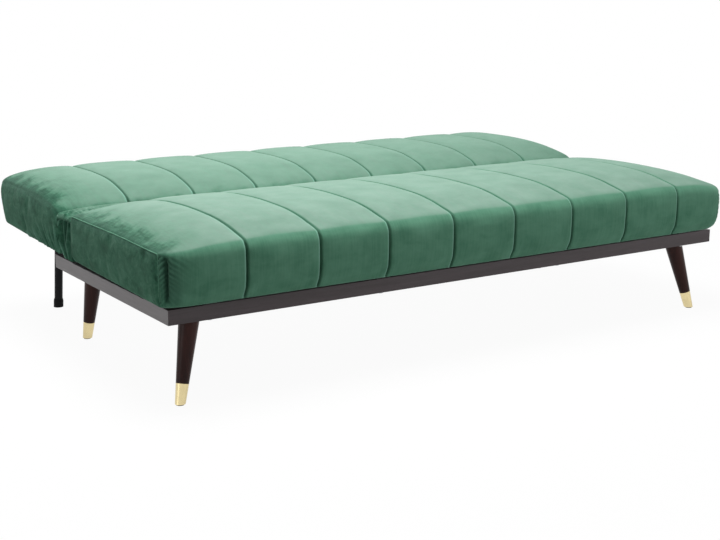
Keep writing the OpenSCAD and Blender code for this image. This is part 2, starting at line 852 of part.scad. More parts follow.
module seat_mechanism_bolts() {
    color(zinc) for (side = [-1, 1], y = seat_bolt_y) handed(side)
        bolt_x(y, tube_z + tube_side/2, side_tube_x, cheek_x + cheek_t);
}

module back_mechanism_bolts() {
    color(zinc) for (side = [-1, 1], y = back_bolt_y) handed(side)
        bolt_x(y, back_tube_z + tube_side/2, back_side_tube_x, bracket_x + bracket_t);
}

// ---- Assembly -------------------------------------------------------

front_rail();
rear_rail();
color(wood) end_rail(-1);  // left_rail
color(wood) end_rail(1);  // right_rail
seat_bearer();
cross_rail(-cross_rail_x);  // left_cross_rail
cross_rail(cross_rail_x);  // right_cross_rail
corner_blocks();
leg_plates();
leg_bolts();
leg(-1, -1);  // front_left_leg
leg(1, -1);  // front_right_leg
leg(-1, 1);  // rear_left_leg
leg(1, 1);  // rear_right_leg
ferrule(-1, -1);  // front_left_ferrule
ferrule(1, -1);  // front_right_ferrule
ferrule(-1, 1);  // rear_left_ferrule
ferrule(1, 1);  // rear_right_ferrule
leg_glides();
seat_spacers();
seat_bolts();
seat_cross_pair(seat_front_tube_y);  // seat_front_tube
seat_cross_pair(seat_rear_tube_y);  // seat_rear_tube
seat_side_tube(-1);  // seat_left_tube
seat_side_tube(1);  // seat_right_tube
seat_cross_tubes();
seat_springs();
seat_foam();
seat_cover();
seat_dust_cloth();
back_cross_pair(back_inner_tube_y);  // back_inner_tube
back_cross_pair(back_outer_tube_y);  // back_outer_tube
back_side_tube(-1);  // back_left_tube
back_side_tube(1);  // back_right_tube
back_cross_tubes();
back_springs();
back_foam();
back_cover();
back_dust_cloth();
support_leg(-1);  // left_support_leg
support_leg(1);  // right_support_leg
rubber_foot(-1);  // left_rubber_foot
rubber_foot(1);  // right_rubber_foot
handed(-1) inner_cheek();  // left_inner_cheek
handed(1) inner_cheek();  // right_inner_cheek
handed(-1) outer_cheek();  // left_outer_cheek
handed(1) outer_cheek();  // right_outer_cheek
handed(-1) back_bracket();  // left_back_bracket
handed(1) back_bracket();  // right_back_bracket
handed(-1) pivot_pin();  // left_pivot_pin
handed(1) pivot_pin();  // right_pivot_pin
handed(-1) pawl();  // left_pawl
handed(1) pawl();  // right_pawl
handed(-1) pawl_pin();  // left_pawl_pin
handed(1) pawl_pin();  // right_pawl_pin
seat_mechanism_bolts();
back_mechanism_bolts();
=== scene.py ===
"""Looks of the click-clack sofa bed: velvet cushions, stained wood base, brass ferrules."""
import math

import bpy
import numpy as np
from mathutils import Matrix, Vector


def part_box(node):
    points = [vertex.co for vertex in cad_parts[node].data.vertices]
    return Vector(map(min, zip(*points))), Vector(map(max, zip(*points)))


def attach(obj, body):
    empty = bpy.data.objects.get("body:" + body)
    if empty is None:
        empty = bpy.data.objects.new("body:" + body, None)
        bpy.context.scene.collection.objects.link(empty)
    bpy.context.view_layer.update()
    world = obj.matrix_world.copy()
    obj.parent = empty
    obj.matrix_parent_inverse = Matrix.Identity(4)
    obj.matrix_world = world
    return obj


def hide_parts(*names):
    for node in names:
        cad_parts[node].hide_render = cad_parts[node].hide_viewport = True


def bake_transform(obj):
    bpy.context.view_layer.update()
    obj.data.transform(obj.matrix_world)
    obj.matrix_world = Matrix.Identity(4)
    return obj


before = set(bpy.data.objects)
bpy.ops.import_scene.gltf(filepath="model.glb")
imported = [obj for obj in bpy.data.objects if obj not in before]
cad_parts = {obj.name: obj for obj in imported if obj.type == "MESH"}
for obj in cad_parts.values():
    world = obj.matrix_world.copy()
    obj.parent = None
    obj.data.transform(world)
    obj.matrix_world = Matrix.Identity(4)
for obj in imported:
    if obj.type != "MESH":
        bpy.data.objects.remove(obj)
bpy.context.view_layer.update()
MM = 0.001
WHITE = (1, 1, 1, 1)

# ---- Places taken from the frame ----

seat_low, seat_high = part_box("seat_cover")
half_length = float(seat_high[0])
seat_front = float(seat_low[1])
# Where the velvet between the cushions starts and ends, across the bed
# The flat end panels bulge out from here.
end_x = half_length - 3*MM
CHANNELS = 9
# What both end channels together have over two of the others
EXTRA_LENGTH = 23*MM
PITCH = (2*half_length - EXTRA_LENGTH)/CHANNELS
SEAMS = np.array([(i - CHANNELS/2)*PITCH for i in range(1, CHANNELS)])

# ---- Nodes ----


def connect(tree, value, socket):
    """Links an output to a socket, or sets the socket to a plain value."""
    if hasattr(value, "is_output"):
        tree.links.new(value, socket)
    else:
        socket.default_value = value


def set_inputs(tree, node, **values):
    """Sets or links a node's sockets, whose names have _ for a space; None leaves one as it is."""
    for name, value in values.items():
        if value is not None:
            connect(tree, value, node.inputs[name.replace("_", " ")])
    return node


def add_node(tree, kind, **values):
    return set_inputs(tree, tree.nodes.new(kind), **values)


def maths(tree, kind, *values):
    node = add_node(tree, "ShaderNodeMath")
    node.operation = kind
    for value, socket in zip(values, node.inputs):
        connect(tree, value, socket)
    return node.outputs[0]


def sees_plain_white(tree):
    """1 for rays that find plain white surroundings, 0 for those that light the bed."""
    path = add_node(tree, "ShaderNodeLightPath").outputs
    seen = maths(tree, "MAXIMUM", path["Is Camera Ray"], path["Is Glossy Ray"])
    return maths(tree, "MAXIMUM", seen, path["Is Transmission Ray"])


def mix_shaders(tree, share, first, second):
    mix = add_node(tree, "ShaderNodeMixShader")
    for value, socket in zip((share, first.outputs[0], second.outputs[0]), mix.inputs):
        connect(tree, value, socket)
    return mix.outputs[0]


# ---- Camera, light and floor ----

CAMERA_YAW = math.radians(32.84)
CAMERA_PITCH = math.radians(12.93)
CAMERA_PLACE = (-2.079, -3.1905, 0.998)
CAMERA_LENS = 66.13
SOFT_LIGHT = 0.11
# Place, target, size and power of each lamp
LAMPS = {
    "top": ((-0.4, -0.3, 3.0), (-0.2, -0.15, 0.4), (2.1, 1.3), 102),
    "behind": ((0.9, 5.4, 1.85), (0.0, 0, 0.4), (4.6, 2.2), 198),
    "front": ((2.4, -3.9, 1.1), (0, -0.5, 0.2), (2.4, 1.4), 42),
    "side": ((-4.2, -0.5, 0.9), (-0.9, 0, 0.25), (1.6, 1.2), 10),
}


def make_camera():
    data = bpy.data.cameras.new("camera")
    data.lens = CAMERA_LENS
    camera = bpy.data.objects.new("camera", data)
    bpy.context.collection.objects.link(camera)
    camera.location = CAMERA_PLACE
    camera.rotation_euler = (math.pi/2 - CAMERA_PITCH, 0, -CAMERA_YAW)
    bpy.context.scene.camera = camera


def make_lamp(name, place, target, size, power):
    data = bpy.data.lights.new(name, "AREA")
    data.shape = "RECTANGLE"
    data.size, data.size_y = size
    data.energy = power
    lamp = bpy.data.objects.new(name, data)
    lamp.location = place
    lamp.rotation_euler = (Vector(target) - Vector(place)).to_track_quat("-Z", "Y").to_euler()
    lamp.visible_camera = False
    bpy.context.collection.objects.link(lamp)


def make_light():
    bpy.context.scene.view_settings.view_transform = "Standard"
    world = bpy.data.worlds.new("studio")
    bpy.context.scene.world = world
    world.use_nodes = True
    tree = world.node_tree
    tree.nodes.clear()
    soft = add_node(tree, "ShaderNodeBackground", Color=WHITE, Strength=SOFT_LIGHT)
    plain = add_node(tree, "ShaderNodeBackground", Color=WHITE, Strength=1.0)
    add_node(tree, "ShaderNodeOutputWorld", Surface=mix_shaders(tree, sees_plain_white(tree), soft, plain))
    for name, lamp in LAMPS.items():
        make_lamp(name, *lamp)


def make_floor():
    """Pale floor that curves up into a backdrop behind the bed."""
    near, far, bend, side, height = -9.0, 4.0, 3.0, 12.0, 8.0
    outline = [(near, 0), (far, 0)]
    outline += [(far + bend*math.sin(a), bend - bend*math.cos(a)) for a in np.linspace(0.1, math.pi/2, 12)]
    outline.append((far + bend, height))
    points = [(x, y, z) for y, z in outline for x in (-side, side)]
    faces = [(2*i, 2*i + 1, 2*i + 3, 2*i + 2) for i in range(len(outline) - 1)]
    floor = mesh_object("floor", points, faces)
    floor.data.materials.append(floor_material())


# ---- Mesh helpers ----

def mesh_object(name, points, faces):
    mesh = bpy.data.meshes.new(name)
    mesh.from_pydata([tuple(p) for p in points], [], [tuple(int(i) for i in f) for f in faces])
    mesh.validate()
    mesh.update()
    mesh.shade_smooth()
    piece = bpy.data.objects.new(name, mesh)
    bpy.context.collection.objects.link(piece)
    return piece


def vectors(rows, name):
    values = np.empty(len(rows)*3)
    rows.foreach_get(name, values)
    return values.reshape(-1, 3)


def mesh_places(piece):
    return vectors(piece.data.vertices, "co")


def mesh_normals(piece):
    piece.data.update()
    return vectors(piece.data.vertex_normals, "vector")


def surface(piece):
    return mesh_places(piece), mesh_normals(piece)


def set_places(piece, places):
    piece.data.vertices.foreach_set("co", np.ascontiguousarray(places, float).ravel())
    piece.data.update()


def waves(places, length, seed):
    """Smooth random field of about -1 to 1 with features of about the given length."""
    rng = np.random.default_rng(seed)
    count = 12
    total = np.zeros(len(places))
    for _ in range(count):
        way = rng.normal(size=3)
        way *= rng.uniform(0.6, 1.5)/(np.linalg.norm(way)*length)
        total += np.sin(places @ way*2*math.pi + rng.uniform(0, 2*math.pi))
    return total/math.sqrt(count)


def smooth_step(edge0, edge1, value):
    t = np.clip((value - edge0)/(edge1 - edge0), 0, 1)
    return t*t*(3 - 2*t)


def bell(value, width):
    """1 where the value is nought, and next to nothing beyond twice the width."""
    return np.exp(-(value/width)**2)


# ---- Cushion form ----

# Rounding of a cushion's ends, seen from above
CORNER_R = 90*MM
# How far a cushion's underside is hollowed, over the springs
HOLLOW = 16*MM
# How much further the seat's right front corner leans in, at its foot and over its whole height
CORNER_TUCK, CORNER_LEAN = 5*MM, 9*MM


def rounded_outline(corners, steps=8):
    """Closed outline with its corners rounded; each corner is (y, z, radius) in millimetres."""
    points = []
    count = len(corners)
    for i, (y, z, radius) in enumerate(corners):
        here = np.array((y, z), float)
        before = np.array(corners[i - 1][:2], float) - here
        after = np.array(corners[(i + 1) % count][:2], float) - here
        before /= np.linalg.norm(before)
        after /= np.linalg.norm(after)
        half = math.acos(np.clip(before @ after, -1, 1))/2
        reach = radius/math.tan(half)
        centre = here + (before + after)/np.linalg.norm(before + after)*radius/math.sin(half)
        first, last = here + before*reach - centre, here + after*reach - centre
        a0 = math.atan2(first[1], first[0])
        turn = (math.atan2(last[1], last[0]) - a0 + math.pi) % (2*math.pi) - math.pi
        for k in range(steps + 1):
            angle = a0 + turn*k/steps
            points.append(centre + radius*np.array((math.cos(angle), math.sin(angle))))
    return np.array(points)*MM


def run_lengths(loop):
    return np.concatenate([[0], np.cumsum(np.linalg.norm(np.diff(loop, axis=0), axis=1))])


def nearest(loop, mark):
    return int(np.argmin(np.linalg.norm(loop - mark, axis=1)))


class Section:
    """A closed outline cut at four marks into its front, top, rear and bottom runs."""

    def __init__(self, corners, marks):
        marks = np.array(marks)*MM
        loop = rounded_outline(corners)
        loop = np.roll(loop, -nearest(loop, marks[0]), axis=0)
        loop = np.vstack([loop, loop[:1]])
        steps = np.linalg.norm(np.diff(loop, axis=0), axis=1)
        self.loop = self.softened(loop[np.concatenate([[True], steps > 1e-7])], marks)
        self.run = run_lengths(self.loop)
        self.cut = [0.0, *(self.run[nearest(self.loop, mark)] for mark in marks[1:]), self.run[-1]]

    @staticmethod
    def softened(loop, marks, step=2*MM, growth=0.35, least=3*MM, most=42*MM):
        """Smooths the loop, more the further a point is from the four marks."""
        run = run_lengths(loop)
        fine = np.arange(0, run[-1], step)
        even = np.stack([np.interp(fine, run, loop[:, k]) for k in (0, 1)], -1)
        near = np.min(np.linalg.norm(even[:, None] - marks[None], axis=2), axis=1)
        width = np.clip(near*growth, least, most)/step
        count = len(even)
        gap = np.abs(np.arange(count)[:, None] - np.arange(count)[None])
        gap = np.minimum(gap, count - gap)
        share = np.exp(-0.5*(gap/width[:, None])**2)
        share /= share.sum(axis=1, keepdims=True)
        soft = share @ even
        return np.vstack([soft, soft[:1]])

    def side(self, index, share):
        """Points at the given shares of one run: 0 front, 1 top, 2 rear, 3 bottom."""
        a, b = self.cut[index], self.cut[index + 1]
        s = a + (b - a)*np.asarray(share)
        return np.stack([np.interp(s, self.run, self.loop[:, k]) for k in (0, 1)], -1)


def section_point(section, v, w):
    """Places on a section of box points with v (depth) or w (height) at 0 or 1."""
    out = np.zeros((len(v), 2))
    front = v <= 0
    top = (w >= 1) & ~front
    rear = (v >= 1) & ~front & ~top
    low = ~front & ~top & ~rear
    for index, (here, share) in enumerate(((front, w), (top, v), (rear, 1 - w), (low, 1 - v))):
        out[here] = section.side(index, share[here])
    return out


def coons(section, v, w):
    """Places inside a section's outline, from its four runs."""
    zero, one = np.zeros_like(v), np.ones_like(v)
    low, top = (section_point(section, np.clip(v, 1e-9, 1), flat) for flat in (zero, one))
    front, rear = section_point(section, zero, w), section_point(section, one, np.clip(w, 0, 1 - 1e-9))
    corner = {(a, b): section_point(section, zero + a, zero + b) for a in (0, 1) for b in (0, 1)}
    v, w = v[:, None], w[:, None]
    plain = (corner[0, 0]*(1 - v)*(1 - w) + corner[1, 0]*v*(1 - w)
             + corner[0, 1]*(1 - v)*w + corner[1, 1]*v*w)
    return low*(1 - w) + top*w + front*(1 - v) + rear*v - plain


def cube_grid(xs, vs, ws):
    """Points (x, v, w) on a box's surface and its quads; each face is a regular grid."""
    index, points, faces = {}, [], []
    nx, nv, nw = len(xs) - 1, len(vs) - 1, len(ws) - 1

    def point(i, j, k):
        key = (i, j, k)
        if key not in index:
            index[key] = len(points)
            points.append((xs[i], vs[j], ws[k]))
        return index[key]

    def quad(*corners):
        faces.append([point(*corner) for corner in corners])

    for i in range(nx):
        for j in range(nv):
            quad((i, j, nw), (i + 1, j, nw), (i + 1, j + 1, nw), (i, j + 1, nw))
            quad((i, j, 0), (i, j + 1, 0), (i + 1, j + 1, 0), (i + 1, j, 0))
        for k in range(nw):
            quad((i, 0, k), (i + 1, 0, k), (i + 1, 0, k + 1), (i, 0, k + 1))
            quad((i, nv, k), (i, nv, k + 1), (i + 1, nv, k + 1), (i + 1, nv, k))
    for j in range(nv):
        for k in range(nw):
            quad((0, j, k), (0, j, k + 1), (0, j + 1, k + 1), (0, j + 1, k))
            quad((nx, j, k), (nx, j + 1, k), (nx, j + 1, k + 1), (nx, j, k + 1))
    return np.array(points), faces


class Form:
    """A cushion's outer form.

    It goes over from the middle section to the end's within the shoulder's length, along a curve with
    the two powers. The end panels bulge out, and their feet are tucked in.
    """

    def __init__(self, middle, end, shoulder, powers, bulge, tuck):
        self.middle, self.end, self.shoulder, self.powers = middle, end, shoulder, powers
        self.bulge, self.tuck = bulge, tuck

    def weights(self, x):
        """How far a section at x has gone over to the end's, across and upwards."""
        reach = np.abs(x)
        across = np.clip((reach - (end_x - CORNER_R))/CORNER_R, 0, 1)
        upward = np.clip((reach - (end_x - self.shoulder))/self.shoulder, 0, 1)
        rise, fall = self.powers
        return 1 - np.sqrt(1 - across**2), 1 - (1 - upward**rise)**(1/fall)

    def places(self, params):
        """Places of box points (x, v, w) on the cushion without its channels."""
        x, v, w = params.T
        reach = np.abs(x)
        inner = (v > 0) & (v < 1) & (w > 0) & (w < 1)
        rim = section_point(self.middle, v, w)
        close = section_point(self.end, v, w)
        flat = rim + (close - rim)*np.stack(self.weights(x), -1)
        flat[inner] = coons(self.end, v[inner], w[inner])
        bulge = np.zeros(len(x))
        bulge[inner] = (16*v*(1 - v)*w*(1 - w))[inner]**0.5*self.bulge
        hollow = smooth_step(0, 0.07, v)*smooth_step(1, 0.93, v)*smooth_step(end_x, end_x - 45*MM, reach)
        flat[:, 1] += HOLLOW*hollow*(w <= 0)
        low = 1 - np.clip(w/(0.16 + 0.10*(v < 0.12)), 0, 1)
        right_front = smooth_step(-0.46, -0.52, flat[:, 0])*(x > 0)
        tuck = (self.tuck + CORNER_TUCK*right_front)*(1 - np.sqrt(1 - low**2))
        tuck += CORNER_LEAN*right_front*(1 - np.clip(w, 0, 1))**1.4
        tuck *= smooth_step(end_x - 60*MM, end_x, reach)
        return np.column_stack([x + np.sign(x)*(bulge - tuck), flat])


# ---- Grid of a cushion ----

# Grid lines beside each channel seam, for the cover and for its simulation
FROM_SEAM = np.array((1.4, 2.9, 4.5, 6.5, 9, 12.5, 17, 23, 31, 41, 53, 67, 83))*MM
FROM_SEAM_COARSE = np.array((12, 26, 41, 57, 74, 90))*MM
# Grid lines in each end channel, from its seam
IN_END_CHANNEL = np.arange(100, 156, 14)*MM


def grid_axes(from_seam, round_end, deep, high):
    """Grid lines along the bed, close beside each seam and at the ends, and over the depth and height."""
    turn = np.linspace(0, math.pi/2, round_end + 1)[1:]
    half = [0.0, *SEAMS, *(SEAMS[-1] + IN_END_CHANNEL), *(end_x - CORNER_R*(1 - np.sin(turn)))]
    half += [seam + side*d for seam in SEAMS for d in from_seam for side in (-1, 1)]
    half = np.abs(half)
    spread = np.unique(np.round(np.concatenate([half, -half]), 6))
    keep = [spread[0]]
    for x in spread[1:]:
        if x - keep[-1] > 2e-5:
            keep.append(x)
    return np.array(keep), np.linspace(0, 1, deep), np.linspace(0, 1, high)


def beside_seam(x):
    """Distance from the nearest sewn channel seam, below nought on its left."""
    beside = x[:, None] - SEAMS[None, :]
    return np.take_along_axis(beside, np.abs(beside).argmin(axis=1)[:, None], axis=1)[:, 0]


def cubic(grid, rows, columns):
    """Catmull-Rom values of a grid of vectors at fractional rows and columns."""
    def weights(t):
        return [((-t + 2)*t - 1)*t/2, ((3*t - 5)*t*t + 2)/2, ((-3*t + 4)*t + 1)*t/2, (t - 1)*t*t/2]

    n, m = grid.shape[:2]
    i, j = np.clip(rows.astype(int), 0, n - 2), np.clip(columns.astype(int), 0, m - 2)
    by_row, by_column = weights(rows - i), weights(columns - j)
    total = np.zeros((len(rows), grid.shape[2]))
    for a in range(4):
        for b in range(4):
            point = grid[np.clip(i + a - 1, 0, n - 1), np.clip(j + b - 1, 0, m - 1)]
            total += point*(by_row[a]*by_column[b])[:, None]
    return total


def carry_over(coarse, moved, axes, fine):
    """Carries the moves of coarse box points over to fine ones, face by face."""
    lookup = {tuple(np.round(p, 6)): d for p, d in zip(coarse, moved)}
    total = np.zeros((len(fine), 3))
    done = np.zeros(len(fine), bool)
    lines = [np.round(a, 6) for a in axes]
    for fixed in (2, 1, 0):
        others = [k for k in range(3) if k != fixed]
        for end in (-1, 0):
            value = lines[fixed][end]
            take = (np.abs(fine[:, fixed] - value) < 1e-6) & ~done
            grid = np.zeros((len(lines[others[0]]), len(lines[others[1]]), 3))
            for i, a in enumerate(lines[others[0]]):
                for j, b in enumerate(lines[others[1]]):
                    key = [0, 0, 0]
                    key[fixed], key[others[0]], key[others[1]] = value, a, b
                    grid[i, j] = lookup[tuple(key)]
            places = [np.interp(fine[take, k], lines[k], np.arange(len(lines[k]))) for k in others]
            total[take] = cubic(grid, *places)
            done |= take
    return total


# ---- Cushion cover ----

# Furthest that the simulation may move a point of a cover
MOST_SWELL = 2.5*MM
SWELL_STEPS = 20
COVER_CLOTH = {
    "quality": 5, "mass": 0.3, "tension_stiffness": 14, "compression_stiffness": 14,
    "shear_stiffness": 5, "bending_stiffness": 6, "use_pressure": True,
    "uniform_pressure_force": 2.5, "shrink_min": -0.003, "vertex_group_mass": "held",
}


def sunk_cover(name, form, depth_of, axes):
    """A cushion's piece, box points, and places with the channels sunk between crown and seam."""
    params, faces = cube_grid(*axes)
    base = form.places(params)
    piece = mesh_object(name, base, faces)
    normals = mesh_normals(piece)
    share = np.clip(1 - np.abs(beside_seam(params[:, 0]))/(PITCH/2), 0, 1)
    return piece, params, base - normals*(depth_of(base, normals)*share**3)[:, None]


def swell(piece, params, base):
    """Blows a cover up by a cloth simulation held at its seams; returns how far each point moved."""
    set_places(piece, base)
    x, v, w = params.T
    held = piece.vertex_groups.new(name="held")
    at_end = np.abs(x) >= end_x - 1e-6
    fixed = (np.abs(beside_seam(x)) < 1e-5) | (w <= 0) | at_end & ((v <= 0) | (v >= 1) | (w >= 1))
    held.add([int(i) for i in np.flatnonzero(fixed)], 1.0, "REPLACE")
    cloth = piece.modifiers.new("cloth", "CLOTH")
    for setting, value in COVER_CLOTH.items():
        setattr(cloth.settings, setting, value)
    cloth.settings.effector_weights.gravity = 0
    cloth.collision_settings.use_collision = False
    scene = bpy.context.scene
    for step in range(1, SWELL_STEPS + 1):
        scene.frame_set(step)
    shown = piece.evaluated_get(bpy.context.evaluated_depsgraph_get())
    moved = mesh_places(shown) - base
    far = np.linalg.norm(moved, axis=1, keepdims=True)
    moved *= np.minimum(1, MOST_SWELL/np.maximum(far, 1e-9))
    bpy.data.objects.remove(piece)
    scene.frame_set(1)
    return moved


def end_distance(places, end):
    """Distance of each point to the nearer end's seam, and the seam's place beside it.

    The seam runs from the front's foot over the top to the rear's foot.
    """
    runs = (0, np.linspace(0.06, 1, 60)), (1, np.linspace(0, 1, 140)), (2, np.linspace(0, 0.94, 50))
    ring = np.vstack([end.side(*run) for run in runs])
    edge = np.full(len(places), 1.0)
    along = np.zeros((len(places), 3))
    for side in (-1, 1):
        line = np.column_stack([np.full(len(ring), side*end_x), ring])
        near = np.flatnonzero(side*places[:, 0] > end_x - 0.16)
        for block in np.array_split(near, max(1, len(near)//4000)):
            gap = np.linalg.norm(places[block][:, None, :] - line[None], axis=2)
            best = gap.argmin(axis=1)
            edge[block] = gap[np.arange(len(block)), best]
            along[block] = line[best]
    return edge, along


def seam_tones(x):
    """Painted highlight on a seam's left, where the channel's edge turns away at a grazing angle, and
    painted shade in the seam itself.
    """
    beside = beside_seam(x)
    return {"pale_edge": bell(beside + 5.5*MM, 2.6*MM), "seam_depth": bell(beside, 2.2*MM)}


def cushion(name, form, depth_of):
    """Builds one velvet cushion: swollen cover, sewn channels and end seams.

    Returns the piece, its box points, its tones, and what end_distance gives for its points.
    """
    piece, params, places = sunk_cover(name, form, depth_of, grid_axes(FROM_SEAM, 36, 127, 49))
    axes = grid_axes(FROM_SEAM_COARSE, 4, 42, 14)
    coarse_piece, coarse, sunk = sunk_cover(name + "_swelling", form, depth_of, axes)
    places += carry_over(coarse, swell(coarse_piece, coarse, sunk), axes, params)
    set_places(piece, places)
    normals = mesh_normals(piece)
    seam = np.abs(beside_seam(params[:, 0]))
    outside = 1 - smooth_step(0.55, 0.9, np.abs(normals[:, 0]))
    over = smooth_step(-0.97, -0.75, normals[:, 2])
    steep = 1 - smooth_step(0.5, 0.95, normals[:, 2])
    stitched, drawn_down = (4.5 + 4.5*steep)*bell(seam, 2.4*MM), (0.9 + 1.1*steep)*np.exp(-seam/(8*MM))
    places -= normals*((stitched + drawn_down)*MM*outside*over)[:, None]
    edge, along = end_distance(places, form.end)
    places -= normals*(2.6*MM*bell(edge, 4.5*MM)*over)[:, None]
    set_places(piece, places)
    piece.data.materials.append(velvet)
    return piece, params, seam_tones(params[:, 0]), edge, along


def paint(piece, **tones):
    """Keeps the velvet's shares at each point: crushed pile with painted shade, painted top light, painted
    highlight and painted shade.
    """
    for name, share in tones.items():
        layer = piece.data.attributes.new(name, "FLOAT", "POINT")
        layer.data.foreach_set("value", np.ascontiguousarray(np.clip(share, 0, 1), dtype=np.float32))


def soften(piece, share, rounds):
    """Evens out a piece where share is above nought, as soft stuffing does to an edge."""
    pairs = np.empty(len(piece.data.edges)*2, int)
    piece.data.edges.foreach_get("vertices", pairs)
    a, b = pairs.reshape(-1, 2).T
    places = mesh_places(piece)
    count = np.bincount(a, minlength=len(places)) + np.bincount(b, minlength=len(places))
    for _ in range(rounds):
        total = np.zeros_like(places)
        for axis in range(3):
            total[:, axis] = (np.bincount(a, places[b, axis], len(places))
                              + np.bincount(b, places[a, axis], len(places)))
        places += (total/count[:, None] - places)*(0.6*share)[:, None]
    set_places(piece, places)


# ---- Seat and back ----

SEAT_MIDDLE = Section([
    (-547, 246, 9), (-571, 284, 30), (-571, 388, 34), (-430, 420, 170), (-260, 425, 260),
    (-110, 419, 160), (19, 396, 28), (19, 250, 8)],
    [(-551, 250), (-562, 384), (11, 391), (17, 252)])
SEAT_END = Section([
    (-520, 247, 6), (-526, 254, 8), (-526, 374, 10), (-240, 379, 700), (10, 377, 16), (16, 257, 22)],
    [(-522, 248), (-523, 372), (6, 375), (10, 264)])
BACK_MIDDLE = Section([
    (81, 261, 8), (81, 348, 14), (124, 396, 40), (230, 425, 110), (370, 430, 240),
    (551, 426, 44), (571, 388, 26), (570, 350, 30), (536, 276, 10)],
    [(84, 261), (90, 364), (562, 421), (537, 277)])
BACK_END = Section([
    (84, 260, 8), (84, 338, 16), (128, 378, 36), (240, 392, 200), (400, 395, 300),
    (556, 393, 20), (574, 360, 26), (538, 275, 10)],
    [(86, 260), (94, 350), (553, 392), (538, 276)])
seat_form = Form(SEAT_MIDDLE, SEAT_END, shoulder=300*MM, powers=(2.8, 1.0), bulge=3*MM, tuck=7*MM)
back_form = Form(BACK_MIDDLE, BACK_END, shoulder=185*MM, powers=(2.4, 1.9), bulge=7*MM, tuck=1*MM)
# How far the crowns stand over the seams, on top and on the upright sides
TOP_DEPTH, SIDE_DEPTH = 1.5*MM, 4*MM
# The seat's upright creases, its soft right front corner and that corner's foot
CREASE_X, CREASE_Y = end_x - 10*MM, seat_front + 25*MM
SOFT_CORNER = np.array((end_x, seat_front + 42*MM, 376*MM))
LOW_CORNER = np.array((end_x, seat_front + 30*MM, 250*MM))
# Height of the puckers beside an end seam
PUCKER = 0.5*MM
# Share of crushed pile that is found all over a cushion
LEAST_CRUSH = 0.06


def side_depth(facing, places, low, high):
    """Depth of the seams on an upright side, which sets in between two heights."""
    return SIDE_DEPTH*np.clip(facing, 0, 1)*smooth_step(low*MM, high*MM, places[:, 2])


def seat_depth(places, normals):
    return TOP_DEPTH*np.clip(normals[:, 2], 0, 1) + side_depth(-normals[:, 1], places, 246, 290)


def back_depth(places, normals):
    sides = side_depth(normals[:, 1], places, 275, 320) + side_depth(-normals[:, 1], places, 330, 370)
    return TOP_DEPTH*np.clip(normals[:, 2], 0, 1) + sides


def drag_folds(piece, tones, seed):
    """Slanting folds of the back's end panels, drawn towards the hinge from the lower edge up."""
    foot, folds = 0.252, 13
    places, normals = surface(piece)
    on_end = smooth_step(0.35, 0.8, np.abs(normals[:, 0]))
    for side in (-1, 1):
        rng = np.random.default_rng(seed + side)
        total = np.zeros(len(places))
        for k in range(folds):
            start_y = 0.096 + 0.0175*k + rng.uniform(-3, 3)*MM
            heading = math.radians(34 + 42*math.exp(-k/3.2) + rng.uniform(-3, 3))
            length = (0.118 - 0.0055*k)*rng.uniform(0.75, 1.1)
            width = rng.uniform(4.2, 6.5)*MM
            y, z = places[:, 1] - start_y, places[:, 2] - foot
            along = y*math.cos(heading) + z*math.sin(heading)
            straight = z*math.cos(heading) - y*math.sin(heading)
            across = (straight + 0.9*along**2*rng.uniform(-1, 1))/width
            lasts = smooth_step(-0.03, 0.01, along)*(1 - smooth_step(0.45*length, 1.15*length, along))
            total += rng.uniform(2.8, 5.2)*MM*(bell(across, 1) - 0.7*bell(across + 1.7, 1))*lasts
        total *= on_end*(side*places[:, 0] > 0)
        places[:, 0] += side*total
        # Painted shade in the fold hollows and painted highlight on the fold ridges
        tones["seam_depth"] += np.clip(-total/(3*MM), 0, 0.8)
        tones["pale_edge"] += np.clip(total/(6*MM), 0, 0.4)
    set_places(piece, places)


def corner_creases(piece, tones, seed):
    """Gathered upright creases at the seat's front corners, with slanting wrinkles beside them."""
    places, normals = surface(piece)
    x, y, z = places.T
    inward, forward = CREASE_X - np.abs(x), CREASE_Y - y
    beside = np.hypot(inward, forward)*np.sign(inward + 0.35*forward)
    away = np.abs(beside)
    corner = (y < -0.44)*smooth_step(0.4, 0.2, normals[:, 2])*smooth_step(-0.8, -0.4, normals[:, 2])
    rise = smooth_step(0.250, 0.275, z)*(1 - 0.55*smooth_step(0.345, 0.372, z))
    crease = 11*MM*bell(beside, 4.5*MM) + 4*MM*bell(beside, 12*MM)
    drift = 1.6*waves(places, 0.05, seed)
    slant = np.sin(2*math.pi*(away*0.6 + z*0.8)/(10*MM) + drift)
    upper = 0.35 + 0.65*smooth_step(0.28, 0.35, z)
    wrinkles = slant*np.exp(-away/(22*MM))*upper*smooth_step(0, 4*MM, away)*corner
    places -= normals*(crease*corner*rise + 2.4*MM*wrinkles)[:, None]
    # Painted shadow of a dent right of the left crease, low down; painted shade in the crease and the
    # wrinkle hollows, and painted highlight on the wrinkle ridges
    dent = 0.55*bell(beside - 22*MM, 15*MM)*smooth_step(0.36, 0.31, z)*(x < 0)
    tones["seam_depth"] += (1.3*bell(beside, 6*MM)*rise + dent)*corner + np.clip(1.3*wrinkles, 0, 1)
    tones["pale_edge"] += np.clip(-0.4*wrinkles, 0, 1)
    set_places(piece, places)


def seam_puckers(piece, edge, along, reach, seed):
    """Short wrinkles square to the end seam that fade over the cushion."""
    places, normals = surface(piece)
    line = 0.6*waves(along, 0.017, seed) + 0.4*waves(along, 0.034, seed + 1)
    patch = 0.55 + 0.45*waves(places, 0.12, seed + 2)
    fade = smooth_step(1*MM, 9*MM, edge)*np.exp(-edge/reach)*(edge < 0.15)
    places += normals*(PUCKER*line*patch*fade)[:, None]
    set_places(piece, places)


